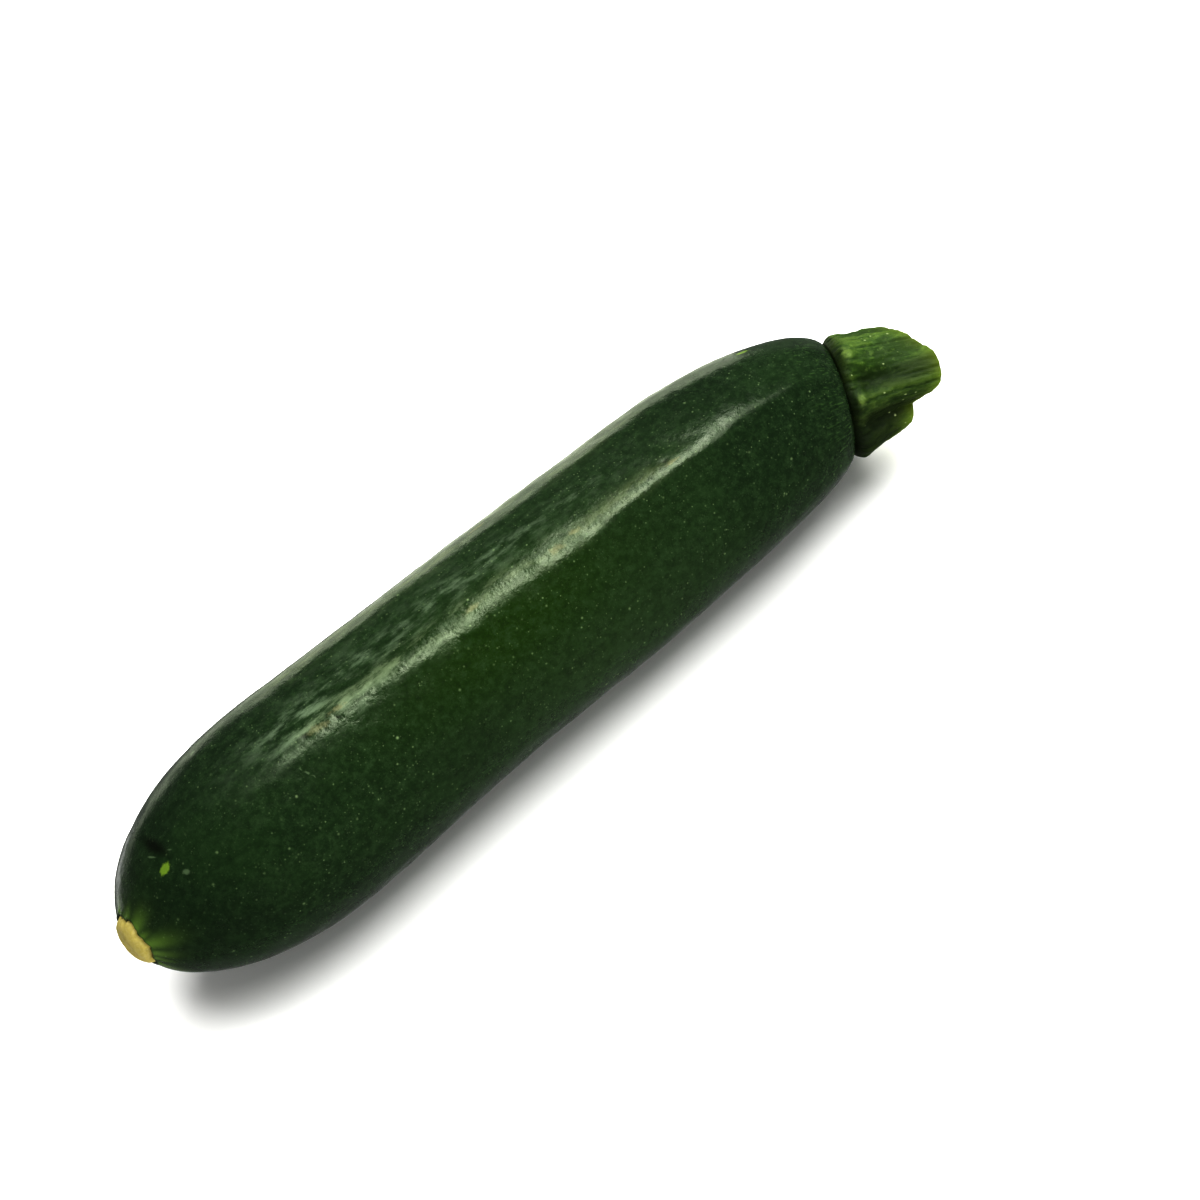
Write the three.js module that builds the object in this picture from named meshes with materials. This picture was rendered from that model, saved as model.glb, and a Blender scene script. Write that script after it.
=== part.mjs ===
import * as THREE from 'three';

// A whole zucchini lying on its underside. Millimetres, +Z up, +X from the blossom end to the stem.
// Angles round the fruit and the stem are in degrees: 0 is the +Y side, 90 is the top.

// The fruit along its middle line, x = 0 at the blossom end
const FRUIT_LENGTH = 191.8;
const FRUIT_RADIUS = 24;
const TAPER = 0.108;
const BLOSSOM_LENGTH = 46.2;
const BLOSSOM_POWER = 2.16;
const SHOULDER_LENGTH = 38;
const SHOULDER_POWER = 1.65;
const CREASE_RATIO = 0.596;

// The corky scar that the flower left: a blunt button on the blossom end
const SCAR_RADIUS = 5.2;
const SCAR_RISE = 2;
const SCAR_POWER = 3;

// The middle line bows a little to +Y, hooks to -Y and down under the stem, and turns up at the blossom
const BOW = 1.42;
const HOOK_LENGTH = 30;
const HOOK_SIDE = 4;
const HOOK_DROP = 1.5;
const TIP_LENGTH = 30;
const TIP_SIDE = 2;
const TIP_RISE = 2.5;

// A slow swelling along the lower -Y side
const SWELL = 0.5;
const SWELL_ANGLE = 220;
const SWELL_NARROWNESS = 3;
const SWELL_PEAK_AT = 125;
const SWELL_WAVE = 78;

// Blunt ridges along the fruit: where each lies, its height over the radius and how narrow it is
const RIDGES = [
  { angle: 3, height: 0.035, narrowness: 12 },
  { angle: 55, height: 0.042, narrowness: 14 },
  { angle: 72, height: 0.016, narrowness: 110 },
  { angle: 111, height: 0.045, narrowness: 26 },
  { angle: 168, height: 0.035, narrowness: 12 },
  { angle: 236, height: 0.035, narrowness: 12 },
  { angle: 304, height: 0.035, narrowness: 12 },
];
const BETWEEN_RIDGES = 0.975;
const RIDGE_START = 4;
const RIDGE_FULL = 44;
const RIDGE_LEFT_AT_CREASE = 0.3;

// The underside is pressed level, so that the fruit lies on a strip
const UNDERSIDE_RATIO = 0.985;
const STRIP_DEPTH = 0.8;

// The stem on the fruit's end: five ribs between five grooves, widest just over the crease
const STEM_GAP = 0.3;
const STEM_BASE_RADIUS = 12.9;
const STEM_FLARE = 1.8;
const STEM_FLARE_AT = 3;
const STEM_END_RADIUS = 12.5;
const STEM_SETTLED_AT = 12;
const GROOVES = [
  { angle: 30, depth: 0.2, narrowness: 18 },
  { angle: 125, depth: 0.24, narrowness: 30 },
  { angle: 168, depth: 0.25, narrowness: 28 },
  { angle: 240, depth: 0.22, narrowness: 18 },
  { angle: 315, depth: 0.22, narrowness: 18 },
];
const GROOVE_AT_BASE = 0.5;
const GROOVE_FULL_AT = 6;

// One groove closes again towards the cut
const FILLED_ANGLE = 125;
const FILLED = 0.19;
const FILLED_NARROWNESS = 30;
const FILLED_FROM = 6;
const FILLED_TO = 16;

// The stem flares less behind its top, and bulges there half way up
const LESS_FLARE = 0.6;
const BULGE = 1.2;
const BULGE_ANGLE = 64;
const BULGE_NARROWNESS = 9;
const BULGE_AT = 10.5;
const BULGE_LENGTH = 7;

// It sits a little up and back on the fruit, and its lower rib draws in towards the cut
const OFFSET_ANGLE = 45;
const STEM_OFFSET = 0.5;
const DRAWN_RIB_ANGLE = 205;
const DRAWN_RIB = 0.08;
const DRAWN_RIB_NARROWNESS = 5;
const DRAWN_RIB_HEIGHT = 15;

// Its cut: a slant that is highest to the top and -Y, stepped down below and taken off at the top edge
const CUT_HIGH_ANGLE = 120;
const CUT_MIDDLE_HEIGHT = 13.6;
const CUT_SLOPE = 0.7;
const CUT_LEAST_HEIGHT = 7.5;
const CUT_FRONT_ANGLE = 135;
const CUT_STEP = 2.8;
const CUT_STEP_FROM = -4;
const CUT_STEP_TO = -6;
const CUT_STEP_FADE = 4;
const CUT_TOP = 4.4;
const CUT_TOP_FROM = 1.5;
const CUT_TOP_TO = 13;

// How finely the surfaces are divided, and the step for the direction of the middle line
const FRUIT_AROUND = 60;
const FRUIT_RINGS = 42;
const SCAR_RINGS = 5;
const CREASE_RINGS = 2;
const STEM_AROUND = 54;
const STEM_RINGS = 14;
const CUT_RINGS = 5;
const TANGENT_STEP = 0.01;

const FRUIT_COLOUR = 0x1b3a1c;
const FRUIT_ROUGHNESS = 0.35;
const STEM_COLOUR = 0x4a7a2a;
const STEM_ROUGHNESS = 0.6;

const radians = THREE.MathUtils.degToRad;
const { smoothstep, clamp } = THREE.MathUtils;

// Straight taper of the body from the blossom end to the stem
function bodyRadius(x) {
  return FRUIT_RADIUS * (1 - TAPER * (x - BLOSSOM_LENGTH) / (FRUIT_LENGTH - BLOSSOM_LENGTH));
}

// Radius along the middle line: the taper, rounded off at the blossom end and at the stem's shoulder
function fruitRadius(x) {
  const intoBlossom = clamp(1 - x / BLOSSOM_LENGTH, 0, 1);
  const intoShoulder = clamp(1 - (FRUIT_LENGTH - x) / SHOULDER_LENGTH, 0, 1);
  const blossom = Math.sqrt(1 - intoBlossom ** BLOSSOM_POWER);
  const shoulder = CREASE_RATIO + (1 - CREASE_RATIO) * Math.sqrt(1 - intoShoulder ** SHOULDER_POWER);
  return bodyRadius(x) * blossom * shoulder;
}

function middleLine(x) {
  const along = x / FRUIT_LENGTH;
  const intoHook = clamp(1 - (FRUIT_LENGTH - x) / HOOK_LENGTH, 0, 1);
  const intoTip = Math.max(1 - x / TIP_LENGTH, 0);
  const y = BOW * 4 * along * (1 - along) - HOOK_SIDE * intoHook ** 3 - TIP_SIDE * intoTip ** 2;
  const level = UNDERSIDE_RATIO * bodyRadius(x) - STRIP_DEPTH;
  const z = level - HOOK_DROP * intoHook ** 3 + TIP_RISE * intoTip ** 2;
  return new THREE.Vector3(x, y, z);
}

// The middle point, and the directions ahead, to the side and up across the fruit there
function frameAt(x) {
  const middle = middleLine(x);
  const ahead = middle.clone().sub(middleLine(x - TANGENT_STEP)).normalize();
  const side = new THREE.Vector3(0, 0, 1).cross(ahead).normalize();
  const up = new THREE.Vector3().crossVectors(ahead, side);
  return { middle, ahead, side, up };
}

function across(frame, angle, radius) {
  return frame.middle.clone()
    .addScaledVector(frame.side, radius * Math.cos(angle))
    .addScaledVector(frame.up, radius * Math.sin(angle));
}

// A smooth bump round a section: 1 at its own angle, falling to nearly 0 away from it
function bump(angle, at, narrowness) {
  return Math.exp(narrowness * (Math.cos(angle - radians(at)) - 1));
}

// Blunt-cornered section: a circle with a low swelling at each ridge
function ridgeFactor(x, angle) {
  let swelling = 0;
  for (const ridge of RIDGES) {
    swelling += ridge.height * bump(angle, ridge.angle, ridge.narrowness);
  }
  const fromBlossom = smoothstep(x, RIDGE_START, RIDGE_FULL);
  const fromShoulder = smoothstep(x, FRUIT_LENGTH - SHOULDER_LENGTH, FRUIT_LENGTH);
  const strength = fromBlossom * (1 - (1 - RIDGE_LEFT_AT_CREASE) * fromShoulder);
  return 1 + strength * (BETWEEN_RIDGES * (1 + swelling) - 1);
}

function swellAt(x, angle) {
  const wave = Math.cos(2 * Math.PI * (x - SWELL_PEAK_AT) / SWELL_WAVE);
  const fromBlossom = smoothstep(x, 0, BLOSSOM_LENGTH);
  const fromShoulder = smoothstep(x, FRUIT_LENGTH - SHOULDER_LENGTH, FRUIT_LENGTH);
  return SWELL * wave * fromBlossom * (1 - fromShoulder) * bump(angle, SWELL_ANGLE, SWELL_NARROWNESS);
}

// Turned on the Y axis of the profile, then every point is moved to where place() puts it
function turned(profile, around, place) {
  const geometry = new THREE.LatheGeometry(profile, around);
  const position = geometry.getAttribute('position');
  const count = profile.length;
  for (let index = 0; index < position.count; index += 1) {
    const turn = Math.floor(index / count) % around;
    const angle = turn / around * 2 * Math.PI;
    const point = place(profile[index % count], angle, index % count);
    position.setXYZ(index, point.x, point.y, point.z);
  }
  geometry.computeVertexNormals();
  return geometry;
}

function makeFruit() {
  const scarEdge = BLOSSOM_LENGTH
    * (1 - (1 - (SCAR_RADIUS / bodyRadius(0)) ** 2) ** (1 / BLOSSOM_POWER));
  const profile = [];
  for (let ring = 0; ring < SCAR_RINGS; ring += 1) {
    const out = ring / SCAR_RINGS;
    const rise = SCAR_RISE * Math.sqrt(1 - out ** SCAR_POWER);
    profile.push(new THREE.Vector2(SCAR_RADIUS * out, scarEdge - rise));
  }
  for (let ring = 0; ring <= FRUIT_RINGS; ring += 1) {
    const along = (1 - Math.cos(Math.PI * ring / FRUIT_RINGS)) / 2;
    const x = scarEdge + (FRUIT_LENGTH - scarEdge) * along;
    profile.push(new THREE.Vector2(fruitRadius(x), x));
  }
  for (let ring = 1; ring <= CREASE_RINGS; ring += 1) {
    const inward = 1 - ring / CREASE_RINGS;
    profile.push(new THREE.Vector2(fruitRadius(FRUIT_LENGTH) * inward, FRUIT_LENGTH));
  }
  return turned(profile, FRUIT_AROUND, (at, angle) => {
    const point = across(frameAt(at.y), angle, at.x * ridgeFactor(at.y, angle) + swellAt(at.y, angle));
    point.z = Math.max(point.z, 0);
    return point;
  });
}

// How far the grooves cut into the stem at an angle, as a share of its radius
function grooveDepth(angle) {
  let depth = 0;
  for (const groove of GROOVES) {
    depth += groove.depth * bump(angle, groove.angle, groove.narrowness);
  }
  return depth;
}

// How far the closing groove is filled at an angle, as a share of the stem's radius
function filling(angle) {
  return FILLED * bump(angle, FILLED_ANGLE, FILLED_NARROWNESS);
}

// Radius of the stem at a height over the crease: flared foot, grooves that open upwards, one of them closed
// again, drawn-in rib, bulge behind the top
function stemRadius(angle, height) {
  const rise = height / STEM_FLARE_AT;
  const behindTop = bump(angle, BULGE_ANGLE, BULGE_NARROWNESS);
  const flare = STEM_FLARE * rise * Math.exp(1 - rise) * (1 - LESS_FLARE * behindTop);
  const settled = smoothstep(height, 0, STEM_SETTLED_AT);
  const crest = STEM_BASE_RADIUS + (STEM_END_RADIUS - STEM_BASE_RADIUS) * settled + flare;
  const opened = GROOVE_AT_BASE + (1 - GROOVE_AT_BASE) * smoothstep(height, 0, GROOVE_FULL_AT);
  const drawn = DRAWN_RIB * bump(angle, DRAWN_RIB_ANGLE, DRAWN_RIB_NARROWNESS)
    * smoothstep(height, 0, DRAWN_RIB_HEIGHT);
  const filled = filling(angle) * smoothstep(height, FILLED_FROM, FILLED_TO);
  const bulge = BULGE * behindTop * Math.exp(-(((height - BULGE_AT) / BULGE_LENGTH) ** 2));
  return crest * (1 - grooveDepth(angle) * opened + filled - drawn) + bulge;
}

// Height of the cut over the stem's section
function cutHeight(angle, radius) {
  const high = radius * Math.cos(angle - radians(CUT_HIGH_ANGLE));
  const slant = Math.max(CUT_MIDDLE_HEIGHT + CUT_SLOPE * high, CUT_LEAST_HEIGHT);
  const above = radius * Math.sin(radians(CUT_FRONT_ANGLE) - angle);
  const before = radius * Math.cos(radians(CUT_FRONT_ANGLE) - angle);
  const inFront = smoothstep(before, -CUT_STEP_FADE, CUT_STEP_FADE);
  const step = CUT_STEP * (1 - smoothstep(above, CUT_STEP_TO, CUT_STEP_FROM));
  const top = CUT_TOP * smoothstep(above, CUT_TOP_FROM, CUT_TOP_TO);
  return slant - inFront * (step + top);
}

function makeStem() {
  const foot = frameAt(FRUIT_LENGTH);
  foot.middle = across(foot, radians(OFFSET_ANGLE), STEM_OFFSET);
  const profile = [];
  for (let ring = 0; ring < CREASE_RINGS; ring += 1) {
    profile.push(new THREE.Vector2(ring / CREASE_RINGS, 0));
  }
  for (let ring = 0; ring <= STEM_RINGS; ring += 1) {
    profile.push(new THREE.Vector2(1, ring / STEM_RINGS));
  }
  const lastSide = profile.length - 1;
  for (let ring = 1; ring <= CUT_RINGS; ring += 1) {
    profile.push(new THREE.Vector2(1 - ring / CUT_RINGS, 1));
  }
  return turned(profile, STEM_AROUND, (at, angle, row) => {
    const nominalRadius = STEM_END_RADIUS * (1 - grooveDepth(angle) + filling(angle));
    const sideHeight = cutHeight(angle, nominalRadius) * at.y;
    const height = row > lastSide ? cutHeight(angle, nominalRadius * at.x) : sideHeight;
    return across(foot, angle, at.x * stemRadius(angle, sideHeight))
      .addScaledVector(foot.ahead, STEM_GAP + height);
  });
}

function piece(name, geometry, color, roughness) {
  const material = new THREE.MeshStandardMaterial({ color, roughness, metalness: 0 });
  const mesh = new THREE.Mesh(geometry, material);
  mesh.name = name;
  return mesh;
}

const zucchini = new THREE.Group();
zucchini.name = 'zucchini';
zucchini.add(piece('fruit', makeFruit(), FRUIT_COLOUR, FRUIT_ROUGHNESS));
zucchini.add(piece('stem', makeStem(), STEM_COLOUR, STEM_ROUGHNESS));

// Origin under the middle of the whole zucchini, on the ground
const box = new THREE.Box3().setFromObject(zucchini);
const middle = box.getCenter(new THREE.Vector3());
for (const mesh of zucchini.children) {
  mesh.geometry.translate(-middle.x, -middle.y, -box.min.z);
}

export default zucchini;
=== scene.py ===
import math
import bpy
import numpy as np
from mathutils import Matrix, Vector


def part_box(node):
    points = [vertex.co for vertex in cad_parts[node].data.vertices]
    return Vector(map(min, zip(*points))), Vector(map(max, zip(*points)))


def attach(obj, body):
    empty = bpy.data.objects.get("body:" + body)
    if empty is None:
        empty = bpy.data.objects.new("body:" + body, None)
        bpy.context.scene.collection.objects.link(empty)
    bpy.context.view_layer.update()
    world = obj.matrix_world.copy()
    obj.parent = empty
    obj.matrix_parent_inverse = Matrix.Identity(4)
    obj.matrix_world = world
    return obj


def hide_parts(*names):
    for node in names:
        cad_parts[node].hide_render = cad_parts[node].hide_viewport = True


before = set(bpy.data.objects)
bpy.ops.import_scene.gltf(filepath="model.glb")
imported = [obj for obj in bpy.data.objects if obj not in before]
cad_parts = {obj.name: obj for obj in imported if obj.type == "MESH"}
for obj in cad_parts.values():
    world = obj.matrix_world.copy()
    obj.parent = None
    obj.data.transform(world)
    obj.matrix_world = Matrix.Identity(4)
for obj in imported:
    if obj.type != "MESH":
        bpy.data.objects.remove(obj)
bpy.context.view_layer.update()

# Shapes are worked out in millimetres and written to the meshes in metres. x runs along the fruit's
# middle line, from 0 at the blossom end. Angles go round the fruit and the stem in degrees: 0 is the
# +Y side and 90 the top.
MM = 0.001

# The fruit along its middle line
FRUIT_LENGTH = 191.8
FRUIT_RADIUS = 24
TAPER = 0.108
BLOSSOM_LENGTH = 46.2
BLOSSOM_POWER = 2.16
SHOULDER_LENGTH = 38
SHOULDER_POWER = 1.65
CREASE_RATIO = 0.596
BOW = 1.42
HOOK_LENGTH = 30
HOOK_SIDE = 4
HOOK_DROP = 1.5
TIP_LENGTH = 30
TIP_SIDE = 2
TIP_RISE = 2.5
UNDERSIDE_RATIO = 0.985
STRIP_DEPTH = 0.8
TANGENT_STEP = 0.01

# Its blunt ridges: angle, height over the radius and narrowness
RIDGES = (
    (3, 0.035, 12), (55, 0.042, 14), (72, 0.016, 110), (111, 0.045, 26),
    (168, 0.035, 12), (236, 0.035, 12), (304, 0.035, 12),
)
BETWEEN_RIDGES = 0.975
RIDGE_START = 4
RIDGE_FULL = 44
RIDGE_LEFT_AT_CREASE = 0.3
SWELL = 0.5
SWELL_ANGLE = 220
SWELL_NARROWNESS = 3
SWELL_PEAK_AT = 125
SWELL_WAVE = 78

# The top ridge strays a few degrees to either side on its way along the fruit, and wavers: length and
# degrees of each wave
STRAY = 3.8
STRAY_ANGLE = 111
STRAY_NARROWNESS = 9
STRAY_MIDDLE = 108
STRAY_LENGTH = 22
WAVERS = ((37, 0.9), (17, 0.5))

# Its sharper crest, a ridge row too, is blunted over one stretch, then rises and runs on over the shoulder
CREST = (112, 0.012, 150)
BLUNT_AT = 102
BLUNT_LENGTH = 20
CREST_HIGHER = 0.8
CREST_HIGHER_FROM = 116
CREST_HIGHER_TO = 152
CREST_END = 190
CREST_FADE = 14

# Ripples are sums of plane waves, whose lengths lie between two shares of the given one
RIPPLE_WAVES = 28
SHORTEST_WAVE = 0.7
LONGEST_WAVE = 1.4

# The blossom scar: a corky button in a ragged hole of the skin, with a crevice and a low lip round it.
# The rows of its ripples give length and height, those of the ragged edge length and share of the radius.
SCAR_RADIUS = 5.2
SCAR_RISE = 2
SCAR_POWER = 3
SCAR_DIMPLE = 0.35
SCAR_DIMPLE_RADIUS = 1.1
SCAR_RIPPLES = ((4, 0.08), (1.4, 0.03))
SCAR_SEED = 11
RAGGED_EDGE = ((5, 0.07), (2.2, 0.045), (0.9, 0.02))
RAGGED_SEED = 5
FRAY_POWER = 10
CREVICE_DEPTH = 0.7
CREVICE_WIDTH = 0.3
LIP_HEIGHT = 0.16
LIP_AT = 1.0
LIP_WIDTH = 0.5

# Unevenness of the skin: length of the ripples, how far they are drawn out along the fruit, and height.
# They fade in from the scar, and all relief ends just before the crease, where soft pleats are highest.
SKIN_RIPPLES = ((21, 2.2, 0.09), (9, 1.8, 0.045), (4.4, 1.4, 0.02), (2.4, 1.2, 0.008))
SKIN_SEED = 20
RIPPLE_FADE = 6
RELIEF_END = 2
PLEAT_COUNT = 13
PLEAT_HEIGHT = 0.16
PLEAT_LENGTH = 14
PLEAT_SWAY = 0.7
PLEAT_SWAY_COUNT = 3

# Oval marks on the skin: x, angle, half length, half width, and the turn of the length towards the girth
DENTS = (
    (13.5, 87, 4, 1.3, 82), (51.1, 106.4, 0.8, 0.6, 20), (58.5, 109, 0.6, 0.5, 30),
    (123.6, 107, 0.5, 0.25, 12), (146.1, 109, 0.6, 0.25, 10), (72, 285, 1.4, 0.7, 50),
    (134, 31, 1.7, 0.6, 15),
)
YELLOW_SPOTS = (
    (12, 105.2, 1.7, 1.15, -10), (177.6, 63, 1.9, 0.9, 0), (63, 318, 1.1, 0.9, 30),
    (151, 244, 0.9, 0.8, 0),
)
PALE_SPOTS = (
    (14.7, 117.6, 1.1, 0.8, 40), (15.2, 99.2, 0.9, 0.3, 50), (11.8, 91, 1.6, 0.3, 60),
    (46.8, 121, 3.2, 0.3, 66), (33, 62, 0.9, 0.9, 0), (118, 340, 1.2, 0.9, 20), (88, 205, 0.8, 0.8, 0),
)
TAN_SCUFFS = (
    (54, 107.5, 4.2, 1.2, 6), (60, 105.5, 3, 0.8, 4), (94, 108, 3, 0.8, 4), (115.7, 110.8, 2.4, 1.2, 10),
    (121, 109, 2.4, 0.8, 8), (147, 112, 2.6, 0.7, 5), (107.9, 60, 3.2, 0.8, 0), (92, 57, 2.2, 0.6, 0),
    (80, 236, 3, 0.9, 8), (141, 2, 3.4, 0.8, 5),
)

# Depth of the dents. One starts outside its oval, where nearness is below 0, and is full near the middle,
# where nearness is 1.
DENT_DEPTH = 0.3
DENT_RIM = -0.6
DENT_FLOOR = 0.8

# Broad patches on the skin: x, angle, half length and narrowness round the fruit
FRESH_GREEN = (98, 126, 34, 9)
# Painted light on the lower side
PAINTED_LIGHT_LOW = (112, 174, 34, 6)
WORN_WAX = (38, 100, 12, 30)
# The patches by the top ridge, at angles 88 to 92 and 104 to 108, are partly a painted sheen of its
# highlights
BLOOMS_AND_SHEEN = (
    (84, 92, 38, 26), (50, 92, 10, 160), (70, 89.5, 8, 400), (90, 88, 9, 400), (110, 89, 9, 260),
    (130, 90, 7, 400), (54, 106, 11, 120), (64, 107, 11, 220), (82, 108, 16, 220), (53, 104, 8, 260),
    (54, 96, 9, 300),
)

# Ridges worn pale along part of the fruit, the paler colour partly a painted sheen under the
# highlights of the top ridge and the far rim: angle, strength and narrowness
RUBBED_AND_SHEEN_RIDGES = ((60, 0.7, 90), (108, 0.6, 220), (3, 0.3, 260), (236, 0.3, 260))
RUBBED_AND_SHEEN_FROM = 46
RUBBED_AND_SHEEN_TO = 156
RUBBED_AND_SHEEN_FADE = 10

# The skin looks older from the blossom end to the middle, and younger again at the shoulder, where fine
# streaks start and are full with that much length left to the crease
OLDER_FROM = 10
OLDER_TO = 110
YOUNGER = 0.7
YOUNGER_FROM = 125
YOUNGER_TO = 170
STREAKS_START_LEFT = 16
STREAKS_FULL_LEFT = 3

# Pale rays that run out of the scar: angle, length, narrowness
SCAR_RAYS = (
    (22, 4, 40), (58, 3, 60), (84, 3, 70), (112, 4.6, 40), (133, 3, 90), (152, 6.4, 45), (176, 5, 90),
    (192, 4, 120), (216, 5, 60), (247, 3.6, 60), (279, 5, 50), (318, 4, 70), (342, 3, 90),
)
RAY_START = 0.2
RAY_FULL = 1.4
SCAR_HALO = 2.6
HALO_STRENGTH = 0.4

# The stem: five ribs between five grooves, widest just over the crease
STEM_GAP = 0.3
STEM_BASE_RADIUS = 12.9
STEM_FLARE = 1.8
STEM_FLARE_AT = 3
STEM_END_RADIUS = 12.5
STEM_SETTLED_AT = 12
GROOVES = ((30, 0.2, 18), (125, 0.24, 30), (168, 0.25, 28), (240, 0.22, 18), (315, 0.22, 18))
GROOVE_AT_BASE = 0.5
GROOVE_FULL_AT = 6
FILLED_ANGLE = 125
FILLED = 0.19
FILLED_NARROWNESS = 30
FILLED_FROM = 6
FILLED_TO = 16
BULGE = 1.2
BULGE_ANGLE = 64
BULGE_NARROWNESS = 9
BULGE_AT = 10.5
BULGE_LENGTH = 7
LESS_FLARE = 0.6
OFFSET_ANGLE = 45
STEM_OFFSET = 0.5
DRAWN_RIB_ANGLE = 205
DRAWN_RIB = 0.08
DRAWN_RIB_NARROWNESS = 5
DRAWN_RIB_HEIGHT = 15

# Its cut: a slant, stepped down below and taken off at the top edge
CUT_HIGH_ANGLE = 120
CUT_MIDDLE_HEIGHT = 13.6
CUT_SLOPE = 0.7
CUT_LEAST_HEIGHT = 7.5
CUT_FRONT_ANGLE = 135
CUT_STEP = 2.8
CUT_STEP_FROM = -4
CUT_STEP_TO = -6
CUT_STEP_FADE = 4
CUT_TOP = 4.4
CUT_TOP_FROM = 1.5
CUT_TOP_TO = 13
CUT_EDGE_RADIUS = 0.4

# The cut's torn face: rows of length and share of the roughness, and a ring that has sunk inside the skin
CUT_ROUGHNESS = 0.22
CUT_TEARS = ((2.4, 1), (1.1, 0.6))
CUT_SEED = 41
CUT_EVEN_EDGE = 0.08
CUT_RING_DEPTH = 0.5
CUT_RING_AT = 1.08
CUT_RING_WIDTH = 0.9

# Fine relief of the stem's side, which fades in over its foot: shallow furrows (angle, depth, narrowness)
FINE_RELIEF_AT = 1.5
FURROWS = (
    (101, 0.45, 70), (66, 0.25, 160), (50, 0.2, 160), (205, 0.4, 90), (275, 0.5, 90), (0, 0.5, 90),
)
FURROW_FROM = 2
FURROW_FULL = 7

# Fibres (count, height) that wander, and fade and swell along the stem
FIBRES = ((34, 0.13), (53, 0.12), (79, 0.09))
FIBRE_SEED = 17
FIBRE_LEVEL = 0.6
FIBRE_SQUEEZE = 0.3
WANDER = 0.045
WANDER_LENGTH = 14
WANDER_SEED = 51
FADING_LENGTH = 6
FADING_SEED = 52
FADING_MEAN = 0.8
FADING_SPREAD = 0.5
FADING_LEAST = 0.1
FADING_MOST = 1.6

# Ripples: length, how far the stem is squeezed along its length for them, and height
STEM_RIPPLES = ((5, 0.3, 0.12), (2.2, 0.3, 0.07), (1.3, 0.8, 0.05))
STEM_SEED = 53

# Swollen feet of the ribs: angle, height, narrowness
RIB_FEET = (
    (45, 0.3, 40), (66, 0.4, 40), (97, 0.5, 40), (142, 0.5, 50), (186, 0.2, 50), (212, 0.3, 40),
    (268, 0.4, 40), (292, 0.3, 40), (345, 0.4, 40), (8, 0.3, 40),
)
RIB_FOOT_AT = 2.6
RIB_FOOT_LENGTH = 1.8

# Stubs of broken bristles: their sizes and how far they are drawn out are drawn from the ranges
PRICKLES = 46
PRICKLE_SEED = 31
PRICKLE_HEIGHT = 0.2
PRICKLE_RADIUS = 0.22
PRICKLE_SIZES = (0.6, 1.5)
PRICKLE_SQUEEZES = (0.45, 1)
PRICKLE_LOWEST = 1.5
PRICKLE_HIGHEST = CUT_MIDDLE_HEIGHT + 4

# Colour along the stem: painted shade on two ribs (angle, strength, narrowness) that clears below the
# cut, painted shade in the grooves that grows over the foot, a yellow green rim at the cut, and the
# crease's painted shade on the foot
PAINTED_SHADE_RIBS = ((188, 1, 7), (144, 0.35, 30))
SHADE_BELOW_CUT = 3
GROOVE_SHADE_AT = 5
CUT_RIM = 1.5
CREASE_SHADE = 2.3

# The place in the grain is shortened along the fruit and the stem, which draws its patterns out there
GRAIN_STRETCH = 0.35

# Fineness of the grids
SEAM_ANGLE = 270
FRUIT_COLUMNS = 224
SCAR_ROWS = 24
BODY_ROWS = 384
END_ROWS = 6
STEM_COLUMNS = 300
FOOT_ROWS = 6
SIDE_ROWS = 150
EDGE_ROWS = 7
CUT_ROWS = 42

# The photograph's view
CAMERA_EYE = (-92.48, -298.4, 377)
CAMERA_AIM = (15.27, -8.3, 22)
CAMERA_ROLL = -24
CAMERA_LENS = 66
CAMERA_SENSOR = 36
CAMERA_NEAREST = 10

# Lamps: name, place, aim, spin about the aim in degrees, width, depth, watts and colour. The softbox and
# the low fill light by their matt share alone. The others are seen in the gloss alone: the panel, its
# dimmer border and its tail along the top ridge, a card on the floor and one upright behind for the far
# rim, and a small one for the tip.
LAMPS = (
    ("overhead_softbox", (480, 250, 1450), (0, 0, 0), 0, 2000, 2000, 82, 0xFFFFFF),
    ("front_fill", (-300, -1500, 300), (0, 0, 20), 0, 1600, 500, 22, 0xFFFFFF),
    ("gloss_panel", (700, -45, 1900), (0, 0, 20), -18, 1500, 300, 30.5, 0xFFFFFF),
    ("gloss_border", (762, 145, 1900), (0, 0, 20), -18, 1500, 700, 34, 0xFFFFFF),
    ("gloss_tail", (1243, -273, 1692), (543, -228, -188), -18, 800, 560, 11, 0xFFFFFF),
    ("rim_card", (136, 550, 1), (136, 550, 1000), -58.4, 955, 450, 2.1, 0xEFF6DF),
    ("rim_wall", (380, 900, 60), (380, 0, 60), 0, 640, 120, 0.9, 0xEFF6DF),
    ("tip_card", (-150, 95, 1), (-150, 95, 1000), 40, 90, 50, 0.025, 0xFFFFFF),
)
MATT_LAMPS = ("overhead_softbox", "front_fill")
FLOOR_RADIUS = 950
FLOOR_CORNERS = 96
FLOOR_GAP = 0.05

# The dim room lights the zucchini, and the camera sees a white backdrop in its place
ROOM_STRENGTH = 0.3
BACKDROP_STRENGTH = 1

# The photograph's deep blacks
PRINT_GAMMA = 0.72


def smoothstep(value, low, high):
    """0 below low, 1 above high, and the cubic 3t^2 - 2t^3 between them."""
    share = np.clip((value - low) / (high - low), 0, 1)
    return share * share * (3 - 2 * share)


def bump(angle, at, narrowness):
    """exp(narrowness * (cos(angle - at) - 1)): 1 at its own angle, nearly 0 away from it."""
    return np.exp(narrowness * (np.cos(angle - np.radians(at)) - 1))


def bumps(angle, rows):
    """Sum of bumps, each row an angle, a height and a narrowness."""
    return sum(height * bump(angle, at, narrowness) for at, height, narrowness in rows)


def unit(vectors):
    """Each vector over its own length."""
    return vectors / np.linalg.norm(vectors, axis=-1, keepdims=True)


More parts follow.
